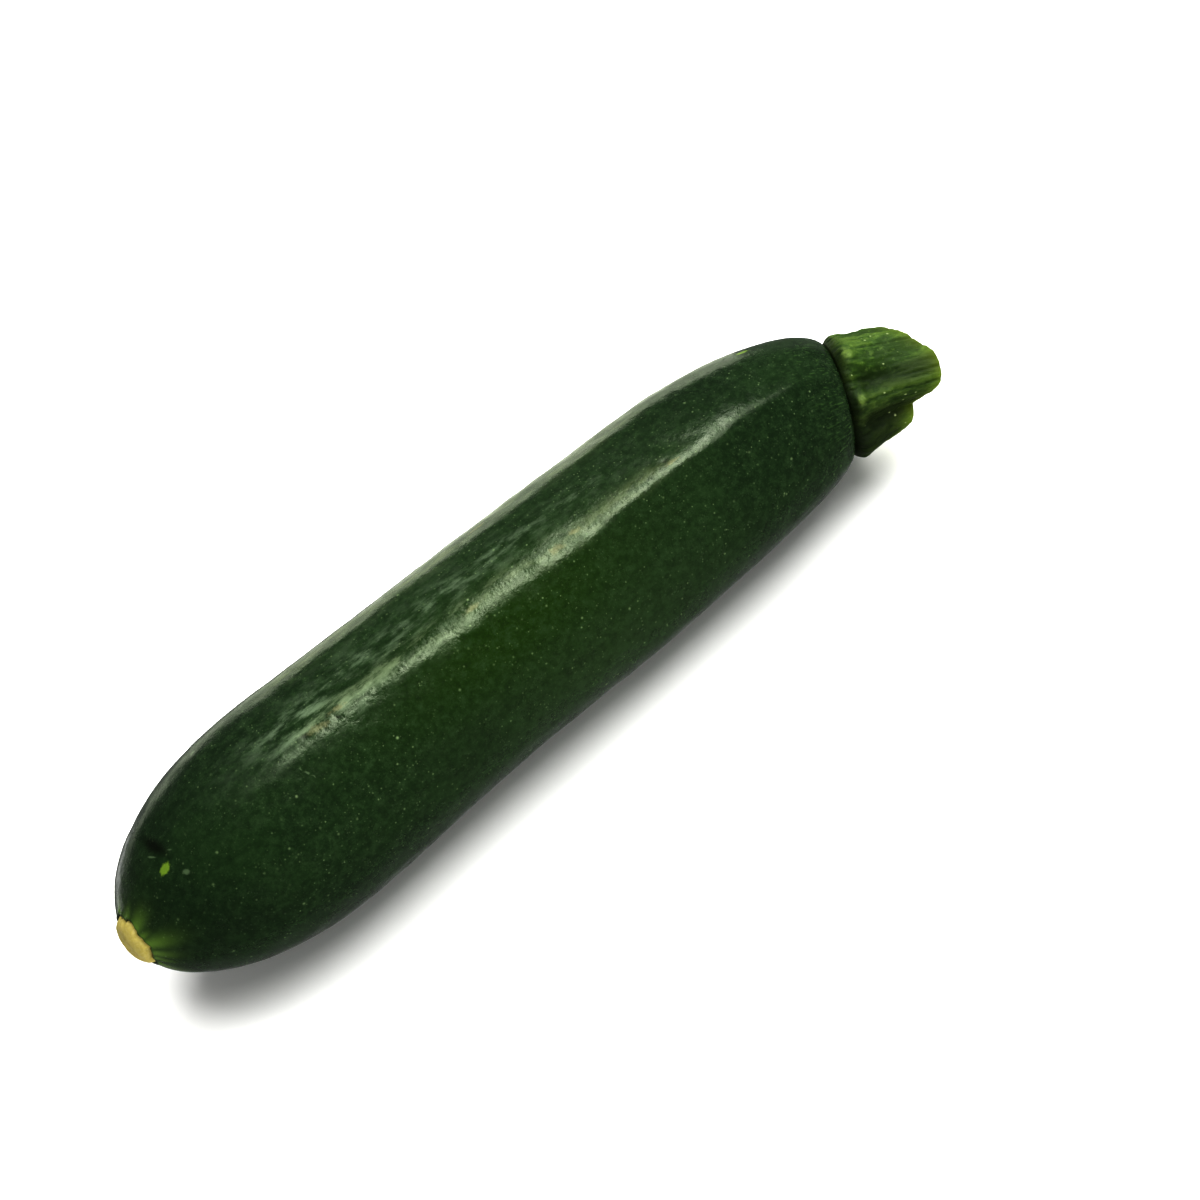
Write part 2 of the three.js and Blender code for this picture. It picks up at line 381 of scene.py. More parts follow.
def ripples(points, length, seed):
    """Smooth unevenness: the sum of plane waves in random directions, each about the given length,
    scaled so that its spread is about 1."""
    draw = np.random.default_rng(seed)
    heading = unit(draw.normal(size=(RIPPLE_WAVES, 3)))
    rate = 2 * np.pi / (length * draw.uniform(SHORTEST_WAVE, LONGEST_WAVE, (RIPPLE_WAVES, 1)))
    phase = draw.uniform(0, 2 * np.pi, RIPPLE_WAVES)
    return np.cos(points @ (heading * rate).T + phase).sum(-1) / math.sqrt(RIPPLE_WAVES / 2)


def layered_ripples(points, rows, seed):
    """Sum of ripples, each row a length, a scale of the points along each axis, and a height."""
    layers = 0
    for order, (length, scale, height) in enumerate(rows):
        layers = layers + height * ripples(points * scale, length, seed + order)
    return layers


def body_radius(x):
    """Straight taper from the blossom end to the stem."""
    return FRUIT_RADIUS * (1 - TAPER * (x - BLOSSOM_LENGTH) / (FRUIT_LENGTH - BLOSSOM_LENGTH))


def fruit_radius(x):
    """The taper times two roundings: sqrt(1 - t^power) at the blossom end, and the same at the shoulder,
    which stops at the crease."""
    into_blossom = np.clip(1 - x / BLOSSOM_LENGTH, 0, 1)
    into_shoulder = np.clip(1 - (FRUIT_LENGTH - x) / SHOULDER_LENGTH, 0, 1)
    blossom = np.sqrt(1 - into_blossom ** BLOSSOM_POWER)
    shoulder = CREASE_RATIO + (1 - CREASE_RATIO) * np.sqrt(1 - into_shoulder ** SHOULDER_POWER)
    return body_radius(x) * blossom * shoulder


def middle_line(x):
    """A shallow parabola to +Y, a cubic hook to -Y and down under the stem, a quadratic rise at the
    tip."""
    along = x / FRUIT_LENGTH
    hook = np.clip(1 - (FRUIT_LENGTH - x) / HOOK_LENGTH, 0, 1) ** 3
    tip = np.maximum(1 - x / TIP_LENGTH, 0) ** 2
    y = BOW * 4 * along * (1 - along) - HOOK_SIDE * hook - TIP_SIDE * tip
    z = UNDERSIDE_RATIO * body_radius(x) - STRIP_DEPTH - HOOK_DROP * hook + TIP_RISE * tip
    return np.stack([x, y, z], -1)


def directions(x):
    """Unit vectors ahead along the middle line, level to the side, and up across it."""
    ahead = unit(middle_line(x) - middle_line(x - TANGENT_STEP))
    side = unit(np.cross((0, 0, 1), ahead))
    return ahead, side, np.cross(ahead, side)


def across(x, angle, radius):
    """The point at an angle and a radius round the middle line."""
    _, side, up = directions(x)
    turned = np.cos(angle)[..., None] * side + np.sin(angle)[..., None] * up
    return middle_line(x) + radius[..., None] * turned


def strayed(x, angle):
    """The angle less the top ridge's stray: a slow S from one side to the other and short waves, which
    fade away from that ridge."""
    waver = sum(height * np.sin(2 * np.pi * x / length) for length, height in WAVERS)
    stray = np.radians(STRAY * np.tanh((x - STRAY_MIDDLE) / STRAY_LENGTH) + waver)
    return angle - stray * bump(angle, STRAY_ANGLE, STRAY_NARROWNESS)


def crest_height(x, turned):
    """The top ridge's crest over the radius: its bump, blunted by 1 - exp(-(distance/length)^2), then
    higher, and gone before the crease."""
    blunted = np.exp(-((x - BLUNT_AT) / BLUNT_LENGTH) ** 2)
    higher = 1 + CREST_HIGHER * smoothstep(x, CREST_HIGHER_FROM, CREST_HIGHER_TO)
    ended = smoothstep(x, CREST_END - CREST_FADE, CREST_END)
    started = smoothstep(x, RIDGE_START, RIDGE_FULL)
    return bumps(turned, (CREST,)) * started * (1 - blunted) * higher * (1 - ended)


def ridged_radius(x, angle):
    """The fruit's radius with its ridges, which fade into both ends, the top one's crest, and a swelling
    at the side that is a slow cosine along the fruit."""
    into_shoulder = smoothstep(x, FRUIT_LENGTH - SHOULDER_LENGTH, FRUIT_LENGTH)
    fading = 1 - (1 - RIDGE_LEFT_AT_CREASE) * into_shoulder
    strength = smoothstep(x, RIDGE_START, RIDGE_FULL) * fading
    turned = strayed(x, angle)
    ridges = 1 + strength * (BETWEEN_RIDGES * (1 + bumps(turned, RIDGES)) - 1) + crest_height(x, turned)
    wave = np.cos(2 * np.pi * (x - SWELL_PEAK_AT) / SWELL_WAVE)
    ends = smoothstep(x, 0, BLOSSOM_LENGTH) * (1 - into_shoulder)
    return fruit_radius(x) * ridges + SWELL * wave * ends * bump(angle, SWELL_ANGLE, SWELL_NARROWNESS)


def outward(points):
    """Unit normals of a grid whose columns go round: the step round crossed with the step along."""
    wrapped = np.concatenate([points[:, -1:], points, points[:, :1]], axis=1)
    around = wrapped[:, 2:] - wrapped[:, :-2]
    return unit(np.cross(around, np.gradient(points, axis=0)))


def offsets(points, x, angle, turn):
    """How far each point lies from one place on the skin: along a mark's length, across it, and off the
    skin."""
    place = np.array(float(x))
    at = np.radians(np.array(float(angle)))
    centre = across(place, at, ridged_radius(place, at))
    ahead = unit(across(place + 1, at, ridged_radius(place + 1, at)) - centre)
    _, side, up = directions(place)
    girth = np.cos(at) * up - np.sin(at) * side
    lean = math.radians(turn)
    lengthways = math.cos(lean) * ahead + math.sin(lean) * girth
    crossways = math.cos(lean) * girth - math.sin(lean) * ahead
    away = points - centre
    return away @ lengthways, away @ crossways, away @ np.cross(lengthways, crossways)


def nearness(points, marks):
    """1 in the middle of the nearest oval mark, 0 on its edge, and down to -1 away from it."""
    best = np.full(points.shape[:2], -1.0)
    for x, angle, half_length, half_width, turn in marks:
        lengthways, crossways, off = offsets(points, x, angle, turn)
        oval = (lengthways / half_length) ** 2 + (crossways / half_width) ** 2
        best = np.maximum(best, 1 - np.sqrt(oval + (off / half_length) ** 2))
    return best


def broad_patch(x, angle, patch):
    """A patch that fades as exp(-(distance over its half length)^2) along the fruit and as a bump round
    it."""
    at, turn, half_length, narrowness = patch
    return np.exp(-((x - at) / half_length) ** 2) * bump(angle, turn, narrowness)


def scar_rays(angle, run):
    """Rays that fade as exp(-(run/length)^2) with the distance run from the scar's edge, over a weak halo
    exp(-run/length). They start outside the crevice."""
    rays = HALO_STRENGTH * np.exp(-run / SCAR_HALO)
    for at, length, narrowness in SCAR_RAYS:
        rays = np.maximum(rays, bump(angle, at, narrowness) * np.exp(-(run / length) ** 2))
    return rays * smoothstep(run, RAY_START, RAY_FULL)


def grain_place(angle, radius, along):
    """A place in metres on a plain cylinder that is shortened along its axis, so that a pattern there is
    drawn out along the fruit or the stem and has no seam."""
    return MM * np.stack([radius * np.cos(angle), radius * np.sin(angle), GRAIN_STRETCH * along], -1)


def columns_round(count):
    """Angles of a grid's columns, evenly once round from the seam."""
    return np.radians(SEAM_ANGLE + 360 * np.arange(count) / count)[None, :]


def padded_rows(values, before, after):
    """The values of some rows of a grid, carried on over the rows before and after them."""
    rows = ((before, after),) + ((0, 0),) * (values.ndim - 1)
    return np.pad(values, rows, mode="edge")


def scar_edge(radius):
    """Where along the fruit its rounded blossom end reaches a radius."""
    return BLOSSOM_LENGTH * (1 - (1 - (radius / body_radius(0)) ** 2) ** (1 / BLOSSOM_POWER))


def scar_rows(angle, ragged, edge):
    """The scar from its middle outwards: a button x = edge - rise * sqrt(1 - out^power) that frays to
    the ragged hole, with a dimple exp(-(distance/radius)^2) in its middle and ripples."""
    out = np.linspace(0, 1, SCAR_ROWS)[:, None]
    frayed = out ** FRAY_POWER
    level = scar_edge(SCAR_RADIUS) * (1 - frayed) + edge * frayed
    x = level - SCAR_RISE * np.sqrt(1 - out ** SCAR_POWER)
    points = across(x, angle + 0 * out, SCAR_RADIUS * out * (1 + ragged * frayed))
    dimple = SCAR_DIMPLE * np.exp(-(SCAR_RADIUS * out / SCAR_DIMPLE_RADIUS) ** 2)
    uneven = layered_ripples(points, [(length, 1, height) for length, height in SCAR_RIPPLES], SCAR_SEED)
    points[..., 0] += dimple + uneven * np.sqrt(out) * (1 - frayed)
    return points


def skin_relief(skin, turn, run, left, dents):
    """Height over the plain skin: ripples less the dents, pleats that are a swaying cosine round the
    fruit and fade as exp(-left/length) from the crease, and a lip and a crevice, both
    exp(-(distance/width)^2), round the scar."""
    rows = [(length, (1 / stretch, 1, 1), height) for length, stretch, height in SKIN_RIPPLES]
    relief = layered_ripples(skin, rows, SKIN_SEED) * smoothstep(run, 0, RIPPLE_FADE) - DENT_DEPTH * dents
    swayed = PLEAT_COUNT * turn + PLEAT_SWAY * np.sin(PLEAT_SWAY_COUNT * turn)
    relief += PLEAT_HEIGHT * np.cos(swayed) * np.exp(-left / PLEAT_LENGTH)
    relief *= smoothstep(left, 0, RELIEF_END)
    relief += LIP_HEIGHT * np.exp(-((run - LIP_AT) / LIP_WIDTH) ** 2)
    relief -= CREVICE_DEPTH * np.exp(-(run / CREVICE_WIDTH) ** 2)
    return relief


def end_rows(angle):
    """The flat disc in the crease, from its edge inwards."""
    inward = np.linspace(1, 0, END_ROWS)[1:, None]
    x = np.full((END_ROWS - 1, FRUIT_COLUMNS), float(FRUIT_LENGTH))
    turn = angle + 0 * x
    return across(x, turn, ridged_radius(x, turn) * inward)


def fruit_surface():
    """The fruit's grid in three bands of rows, scar, skin and end, and what its skin's patterns follow.
    The skin is the ridged radius over x, set off along its normal by the relief, with rows that are
    spaced by half of 1 - cos, closest at both ends. The whole is pressed level at the underside."""
    angle = columns_round(FRUIT_COLUMNS)
    circle = SCAR_RADIUS * np.stack([np.cos(angle), np.sin(angle), 0 * angle], -1)
    ragged = layered_ripples(circle, [(length, 1, share) for length, share in RAGGED_EDGE], RAGGED_SEED)
    edge = scar_edge(SCAR_RADIUS * (1 + ragged))

    share = np.linspace(0, 1, BODY_ROWS)[:, None]
    x = edge + (FRUIT_LENGTH - edge) * 0.5 * (1 - np.cos(np.pi * share))
    turn = angle + 0 * x
    plain = across(x, turn, ridged_radius(x, turn))
    steps = np.linalg.norm(np.diff(plain, axis=0), axis=-1)
    run = np.concatenate([np.zeros_like(angle), np.cumsum(steps, axis=0)])
    left = FRUIT_LENGTH - x
    dents = smoothstep(nearness(plain, DENTS), DENT_RIM, DENT_FLOOR)
    skin = plain + skin_relief(plain, turn, run, left, dents)[..., None] * outward(plain)

    points = np.concatenate([scar_rows(angle, ragged, edge), skin, end_rows(angle)])
    points[..., 2] = np.maximum(points[..., 2], 0)
    rubbed_and_sheen = smoothstep(x - RUBBED_AND_SHEEN_FROM, 0, RUBBED_AND_SHEEN_FADE) * smoothstep(RUBBED_AND_SHEEN_TO - x, 0, RUBBED_AND_SHEEN_FADE)
    younger = YOUNGER * smoothstep(x, YOUNGER_FROM, YOUNGER_TO)
    patterns = {
        "scar_ray": scar_rays(turn, run),
        "yellow_spot": nearness(skin, YELLOW_SPOTS),
        "pale_spot": nearness(skin, PALE_SPOTS),
        "tan_scuff": nearness(skin, TAN_SCUFFS),
        "dent": dents,
        "rubbed_and_sheen": bumps(strayed(x, turn), RUBBED_AND_SHEEN_RIDGES) * rubbed_and_sheen,
        "fresh_green": broad_patch(x, turn, FRESH_GREEN),
        "painted_light_low": broad_patch(x, turn, PAINTED_LIGHT_LOW),
        "worn_wax": broad_patch(x, turn, WORN_WAX),
        "bloom_and_sheen": sum(broad_patch(x, turn, patch) for patch in BLOOMS_AND_SHEEN),
        "older": smoothstep(x, OLDER_FROM, OLDER_TO) * (1 - younger),
        "shoulder": 1 - smoothstep(left, STREAKS_FULL_LEFT, STREAKS_START_LEFT),
        "grain": grain_place(turn, FRUIT_RADIUS, run),
    }
    fields = {name: padded_rows(values, SCAR_ROWS, END_ROWS - 1) for name, values in patterns.items()}
    return points, fields


def groove_depth(angle):
    """How far the grooves cut into the stem, as a share of its radius."""
    return bumps(angle, GROOVES)


def groove_filling(angle):
    """How far one groove is filled again at the cut, as a share of the radius."""
    return FILLED * bump(angle, FILLED_ANGLE, FILLED_NARROWNESS)


def stem_radius(angle, height):
    """A flare h * exp(1 - h) at the foot, grooves that open upwards, one of them filled again towards the
    cut, a rib that is drawn in and a bulge behind the top."""
    rise = height / STEM_FLARE_AT
    behind_top = bump(angle, BULGE_ANGLE, BULGE_NARROWNESS)
    flare = STEM_FLARE * rise * np.exp(1 - rise) * (1 - LESS_FLARE * behind_top)
    settled = smoothstep(height, 0, STEM_SETTLED_AT)
    crest = STEM_BASE_RADIUS + (STEM_END_RADIUS - STEM_BASE_RADIUS) * settled + flare
    opened = GROOVE_AT_BASE + (1 - GROOVE_AT_BASE) * smoothstep(height, 0, GROOVE_FULL_AT)
    filled = groove_filling(angle) * smoothstep(height, FILLED_FROM, FILLED_TO)
    drawn = DRAWN_RIB * bump(angle, DRAWN_RIB_ANGLE, DRAWN_RIB_NARROWNESS)
    drawn *= smoothstep(height, 0, DRAWN_RIB_HEIGHT)
    bulge = BULGE * behind_top * np.exp(-((height - BULGE_AT) / BULGE_LENGTH) ** 2)
    return crest * (1 - groove_depth(angle) * opened + filled - drawn) + bulge


def cut_height(angle, radius):
    """Height of the cut over the stem's section: a slanted plane with a step below and a fall at the
    top."""
    slant = CUT_MIDDLE_HEIGHT + CUT_SLOPE * radius * np.cos(angle - np.radians(CUT_HIGH_ANGLE))
    above = radius * np.sin(np.radians(CUT_FRONT_ANGLE) - angle)
    before = radius * np.cos(np.radians(CUT_FRONT_ANGLE) - angle)
    in_front = smoothstep(before, -CUT_STEP_FADE, CUT_STEP_FADE)
    step = CUT_STEP * (1 - smoothstep(above, CUT_STEP_TO, CUT_STEP_FROM))
    top = CUT_TOP * smoothstep(above, CUT_TOP_FROM, CUT_TOP_TO)
    return np.maximum(slant, CUT_LEAST_HEIGHT) - in_front * (step + top)


def prickle_bumps(angle, height):
    """Stubs of broken bristles at random places, each a small round bump exp(-(distance/radius)^2)."""
    draw = np.random.default_rng(PRICKLE_SEED)
    stubs = np.zeros(np.broadcast(angle, height).shape)
    for _ in range(PRICKLES):
        at = draw.uniform(0, 2 * np.pi)
        level = draw.uniform(PRICKLE_LOWEST, PRICKLE_HIGHEST)
        size = PRICKLE_RADIUS * draw.uniform(*PRICKLE_SIZES)
        turn = np.angle(np.exp(1j * (angle - at)))
        distance = np.hypot(turn * STEM_END_RADIUS, (height - level) * draw.uniform(*PRICKLE_SQUEEZES))
        stubs = np.maximum(stubs, np.exp(-(distance / size) ** 2))
    return stubs


def fibre_heights(plain, turn):
    """Fibres along the stem: the sum of |cos| waves round it, whose angle wanders and whose height fades
    and swells with slow ripples."""
    drawn_out = plain * (1, 1, FIBRE_SQUEEZE)
    phase = np.random.default_rng(FIBRE_SEED).uniform(0, np.pi, len(FIBRES))
    wander = turn + WANDER * ripples(drawn_out, WANDER_LENGTH, WANDER_SEED)
    fibres = 0
    for (count, height), start in zip(FIBRES, phase):
        fibres = fibres + height * (np.abs(np.cos(count * wander / 2 + start)) - FIBRE_LEVEL)
    fading = FADING_MEAN + FADING_SPREAD * ripples(drawn_out, FADING_LENGTH, FADING_SEED)
    return fibres * np.clip(fading, FADING_LEAST, FADING_MOST)


def stem_side(angle, cut_edge):
    """Height and radius of the stem's side, the ribbed radius with fibres, ripples, swollen rib feet,
    furrows and prickles, and what its patterns follow."""
    share = np.linspace(0, 1, SIDE_ROWS)[:, None]
    height = (cut_edge - CUT_EDGE_RADIUS) * share
    turn = angle + 0 * height
    plain = np.stack([STEM_END_RADIUS * np.cos(turn), STEM_END_RADIUS * np.sin(turn), height], -1)
    fibres = fibre_heights(plain, turn)
    rows = [(length, (1, 1, squeeze), tall) for length, squeeze, tall in STEM_RIPPLES]
    lumps = layered_ripples(plain, rows, STEM_SEED)
    feet = bumps(turn, RIB_FEET) * np.exp(-((height - RIB_FOOT_AT) / RIB_FOOT_LENGTH) ** 2)
    furrows = bumps(turn, FURROWS) * smoothstep(height, FURROW_FROM, FURROW_FULL)
    stubs = prickle_bumps(turn, height)
    fine = fibres + lumps + feet - furrows + PRICKLE_HEIGHT * stubs
    radius = stem_radius(turn, height) + smoothstep(height, 0, FINE_RELIEF_AT) * fine

    below_cut = cut_edge - height
    patterns = {
        # Groove depth, which paints shade into the grooves
        "groove": groove_depth(turn) * smoothstep(height, 0, GROOVE_SHADE_AT),
        "fibre": fibres + lumps - furrows,
        "rib_foot": feet,
        "prickle": stubs,
        "near_cut": np.exp(-below_cut / CUT_RIM),
        # Painted shade of the crease on the foot
        "crease_painted_shade": np.exp(-(height / CREASE_SHADE) ** 2),
        # Painted shade on two ribs, which clears below the cut
        "painted_shade": bumps(turn, PAINTED_SHADE_RIBS) * (1 - np.exp(-(below_cut / SHADE_BELOW_CUT) ** 2)),
        "grain": grain_place(turn, STEM_END_RADIUS, height),
    }
    return height, radius, patterns


def cut_tears(angle, radius, inward):
    """The cut's torn face over its plain height: ripples, and a sunk ring exp(-(distance/width)^2) inside
    the skin. They fade out at the edge."""
    turn = angle + 0 * radius
    flat = np.stack([radius * np.cos(turn), radius * np.sin(turn), 0 * radius], -1)
    rows = [(length, 1, share) for length, share in CUT_TEARS]
    torn = CUT_ROUGHNESS * layered_ripples(flat, rows, CUT_SEED)
    from_edge = (1 - inward) * STEM_END_RADIUS
    torn -= CUT_RING_DEPTH * np.exp(-((from_edge - CUT_RING_AT) / CUT_RING_WIDTH) ** 2)
    return torn * smoothstep(1 - inward, 0, CUT_EVEN_EDGE)


def stem_surface():
    """The stem's grid in four bands of rows, and what its patterns follow. Foot: a flat disc. Side: the
    ribbed radius over the height. Edge: a quarter round. Cut: the cut's height over the section, torn a
    little. The whole stands on the end of the fruit's middle line."""
    angle = columns_round(STEM_COLUMNS)
    nominal = STEM_END_RADIUS * (1 - groove_depth(angle) + groove_filling(angle))
    cut_edge = cut_height(angle, nominal)
    height, radius, patterns = stem_side(angle, cut_edge)

    quarter = np.radians(np.linspace(0, 90, EDGE_ROWS))[1:, None]
    edge_radius = radius[-1:] - CUT_EDGE_RADIUS * (1 - np.cos(quarter))
    edge_height = cut_edge - CUT_EDGE_RADIUS * (1 - np.sin(quarter))

    inward = np.linspace(1, 0, CUT_ROWS)[1:, None]
    face_radius = (radius[-1:] - CUT_EDGE_RADIUS) * inward
    face_height = cut_height(angle, nominal * inward) + cut_tears(angle, face_radius, inward)

    under = np.linspace(0, 1, FOOT_ROWS + 1)[:-1, None]
    all_radius = np.concatenate([under * radius[:1], radius, edge_radius, face_radius])
    all_height = np.concatenate([under * 0 * radius[:1], height, edge_height, face_height])
    all_turn = angle + 0 * all_radius

    end = np.array(float(FRUIT_LENGTH))
    ahead, side, up = directions(end)
    lean = np.radians(OFFSET_ANGLE)
    foot = middle_line(end) + STEM_OFFSET * (math.cos(lean) * side + math.sin(lean) * up)
    sideways = np.cos(all_turn)[..., None] * side + np.sin(all_turn)[..., None] * up
    points = foot + all_radius[..., None] * sideways + (STEM_GAP + all_height)[..., None] * ahead

    after = EDGE_ROWS - 1 + CUT_ROWS - 1
    fields = {name: padded_rows(values, FOOT_ROWS, after) for name, values in patterns.items()}
    fields["to_middle"] = padded_rows(1 - inward + 0 * angle, FOOT_ROWS + SIDE_ROWS + EDGE_ROWS - 1, 0)
    return points, fields


def surface_object(name, points, fields, finishes, first_row_of):
    """A closed mesh from a grid: a pole at its first and last row, quads between, columns that meet.
    Each finish covers the rows from its own first row on."""
    rows, columns, _ = points.shape
    rings = points[1:-1].reshape(-1, 3)
    vertices = np.concatenate([points[:1, 0], rings, points[-1:, 0]]) * MM
    column = np.arange(columns)
    following = (column + 1) % columns
    ring = 1 + columns * np.arange(rows - 3)[:, None]
    next_ring = ring + columns
    last_ring = 1 + columns * (rows - 3)
    first_fan = np.stack([0 * column, 1 + following, 1 + column], -1)
    quads = np.stack([ring + column, ring + following, next_ring + following, next_ring + column], -1)
    last_fan = np.stack([last_ring + column, last_ring + following, 0 * column + len(vertices) - 1], -1)
    faces = first_fan.tolist() + quads.reshape(-1, 4).tolist() + last_fan.tolist()
    mesh = bpy.data.meshes.new(name)
    mesh.from_pydata(vertices.tolist(), [], faces)
    face_row = np.repeat(np.arange(rows - 1), columns)
    finish = np.searchsorted(first_row_of, face_row, side="right") - 1
    mesh.polygons.foreach_set("material_index", finish.astype(np.int32))
    for material in finishes:
        mesh.materials.append(material)
    for field, values in fields.items():
        flat = values.reshape(rows, columns, -1)
        kept = np.concatenate([flat[0, 0], flat[1:-1].ravel(), flat[-1, 0]]).astype(np.float32)
        kind, key = ("FLOAT_VECTOR", "vector") if values.ndim == 3 else ("FLOAT", "value")
        mesh.attributes.new(field, kind, "POINT").data.foreach_set(key, kept)
    mesh.shade_smooth()
    mesh.validate()
    made = bpy.data.objects.new(name, mesh)
    bpy.context.scene.collection.objects.link(made)
    return made


def colour(hex_value):
    """sRGB hex to the linear colour that the shaders take."""
    parts = [(hex_value >> shift & 255) / 255 for shift in (16, 8, 0)]
    linear = [part / 12.92 if part <= 0.04045 else ((part + 0.055) / 1.055) ** 2.4 for part in parts]
    return (*linear, 1)


def per_metre(size):
    """Texture scale for a pattern of that size in millimetres, on coordinates in metres."""
    return 1 / (size * MM)


def add(material, kind, settings, sockets):
    """One node with its settings; each socket gets a value, or a link where an output is given."""
    node = material.node_tree.nodes.new(kind)
    for name, value in settings.items():
        setattr(node, name, value)
    for name, value in sockets.items():
        if isinstance(value, bpy.types.NodeSocket):
            material.node_tree.links.new(value, node.inputs[name])
        else:
            node.inputs[name].default_value = value
    return node


# Settings of the nodes, and sockets of the Mix node for colours
SMOOTH = {"interpolation_type": "SMOOTHSTEP"}
MULTIPLY = {"operation": "MULTIPLY"}
MULTIPLY_ADD = {"operation": "MULTIPLY_ADD"}
POWER = {"operation": "POWER"}
COLOURS = {"data_type": "RGBA"}
FIRST_COLOUR = 6
SECOND_COLOUR = 7
MIXED_COLOUR = 2

# Lenticels of three sizes: spacing in millimetres, the widest one's radius as a share of it, and strength
LENTICELS = ((2.3, 0.22, 1), (1.3, 0.28, 0.85), (0.8, 0.34, 0.7))
NARROWEST = 0.4

# Marks with frayed edges: how ragged, how far the edge reaches in, and strength
FRAYED_MARKS = (("yellow_spot", 1.1, 0.4, 0.9), ("pale_spot", 1, 0.6, 0.22), ("tan_scuff", 2.6, 0.8, 0.35))

# What the patterns of the skin and of the stem's side follow
SKIN_FIELDS = (
    "scar_ray", "yellow_spot", "pale_spot", "tan_scuff", "dent", "rubbed_and_sheen", "fresh_green", "painted_light_low",
    "worn_wax", "bloom_and_sheen", "older", "shoulder",
)
STEM_FIELDS = ("groove", "fibre", "rib_foot", "prickle", "near_cut", "crease_painted_shade", "painted_shade")


def painted(material, shade, layers):
    """Lays colours over a shade, one after another, each where its mask is high."""
    for mask, hex_value in layers:
        sockets = {0: mask, FIRST_COLOUR: shade, SECOND_COLOUR: colour(hex_value)}
        shade = add(material, "ShaderNodeMix", COLOURS, sockets).outputs[MIXED_COLOUR]
    return shade


def new_material(name):
    """A material with no nodes yet."""
    material = bpy.data.materials.new(name)
    material.use_nodes = True
    material.node_tree.nodes.clear()
    return material


def finish_material(material, sockets):
    """The Principled shader with its sockets, as the material's surface."""
    shader = add(material, "ShaderNodeBsdfPrincipled", {}, sockets)
    add(material, "ShaderNodeOutputMaterial", {}, {"Surface": shader.outputs["BSDF"]})
    return material


def grown_green(skin, place, dusty, fewer, marks):
    """The skin's own green: nearly black, clearing in clouds, paler where it is older, painted light on
    the lower side, fresh in one patch, mottled finely darker and paler, with a dusty grey haze of wax
    that is partly a painted sheen by the top ridge."""
    cloud = add(skin, "ShaderNodeTexNoise", {}, {"Vector": place, "Scale": per_metre(24), "Detail": 4})
    clearing = add(skin, "ShaderNodeMapRange", SMOOTH, {
        "Value": cloud.outputs["Fac"], "From Min": 0.38, "From Max": 0.66, "To Max": 0.9})
    mottle = add(skin, "ShaderNodeTexNoise", {}, {
        "Vector": place, "Scale": per_metre(1.8), "Detail": 7, "Roughness": 0.8})
    mottled = add(skin, "ShaderNodeMapRange", {}, {
        "Value": mottle.outputs["Fac"], "From Min": 0.48, "From Max": 0.68, "To Max": fewer})
    darker = add(skin, "ShaderNodeMapRange", {}, {
        "Value": mottle.outputs["Fac"], "From Min": 0.5, "From Max": 0.34, "To Max": 0.4})
    dust_and_sheen = add(skin, "ShaderNodeMapRange", SMOOTH, {
        "Value": dusty, "From Min": 0.42, "From Max": 0.68, "To Max": 0.33})
    # Dusty grey wax, partly a painted sheen by the top ridge
    bloom_and_sheen = add(skin, "ShaderNodeMath", MULTIPLY, {0: dust_and_sheen.outputs["Result"], 1: marks["bloom_and_sheen"]})
    older = add(skin, "ShaderNodeMath", MULTIPLY, {0: marks["older"], 1: 0.7})
    # Painted light on the lower side
    paler = add(skin, "ShaderNodeMath", MULTIPLY, {0: marks["painted_light_low"], 1: 0.5})
    fresh = add(skin, "ShaderNodeMath", MULTIPLY, {0: marks["fresh_green"], 1: 0.9})
    return painted(skin, colour(0x132311), (
        (clearing.outputs["Result"], 0x1A2D15),
        (older.outputs["Value"], 0x1F301A),
        (paler.outputs["Value"], 0x2A3C20),
        (fresh.outputs["Value"], 0x1B3006),
        (darker.outputs["Result"], 0x0A150A),
        (mottled.outputs["Result"], 0x2B3E24),
        (bloom_and_sheen.outputs["Value"], 0x6A7A62),
    ))


def lenticel_layers(skin, place, fewer):
    """Pale round dots, the cells of three sizes, each of its own width and strength. They crowd together
    in clouds."""
    crowd = add(skin, "ShaderNodeTexNoise", {}, {"Vector": place, "Scale": per_metre(8), "Detail": 3})
    crowded = add(skin, "ShaderNodeMapRange", SMOOTH, {
        "Value": crowd.outputs["Fac"], "From Min": 0.4, "From Max": 0.64, "To Min": 0.35, "To Max": fewer})
    layers = []
    for spacing, widest, strength in LENTICELS:
        cells = add(skin, "ShaderNodeTexVoronoi", {}, {"Vector": place, "Scale": per_metre(spacing)})
        picked = add(skin, "ShaderNodeSeparateColor", {}, {"Color": cells.outputs["Color"]})
        wide = add(skin, "ShaderNodeMath", MULTIPLY_ADD, {
            0: picked.outputs["Red"], 1: widest * (1 - NARROWEST), 2: widest * NARROWEST})
        rare = add(skin, "ShaderNodeMath", POWER, {0: picked.outputs["Green"], 1: 2})
        seen = add(skin, "ShaderNodeMath", MULTIPLY, {
            0: rare.outputs["Value"], 1: crowded.outputs["Result"]})
        strong = add(skin, "ShaderNodeMath", MULTIPLY, {0: seen.outputs["Value"], 1: strength})
        dot = add(skin, "ShaderNodeMapRange", SMOOTH, {
            "Value": cells.outputs["Distance"], "From Min": wide.outputs["Value"], "From Max": 0,
            "To Max": strong.outputs["Value"]})
        layers.append((dot.outputs["Result"], 0x7C9066))
    return layers


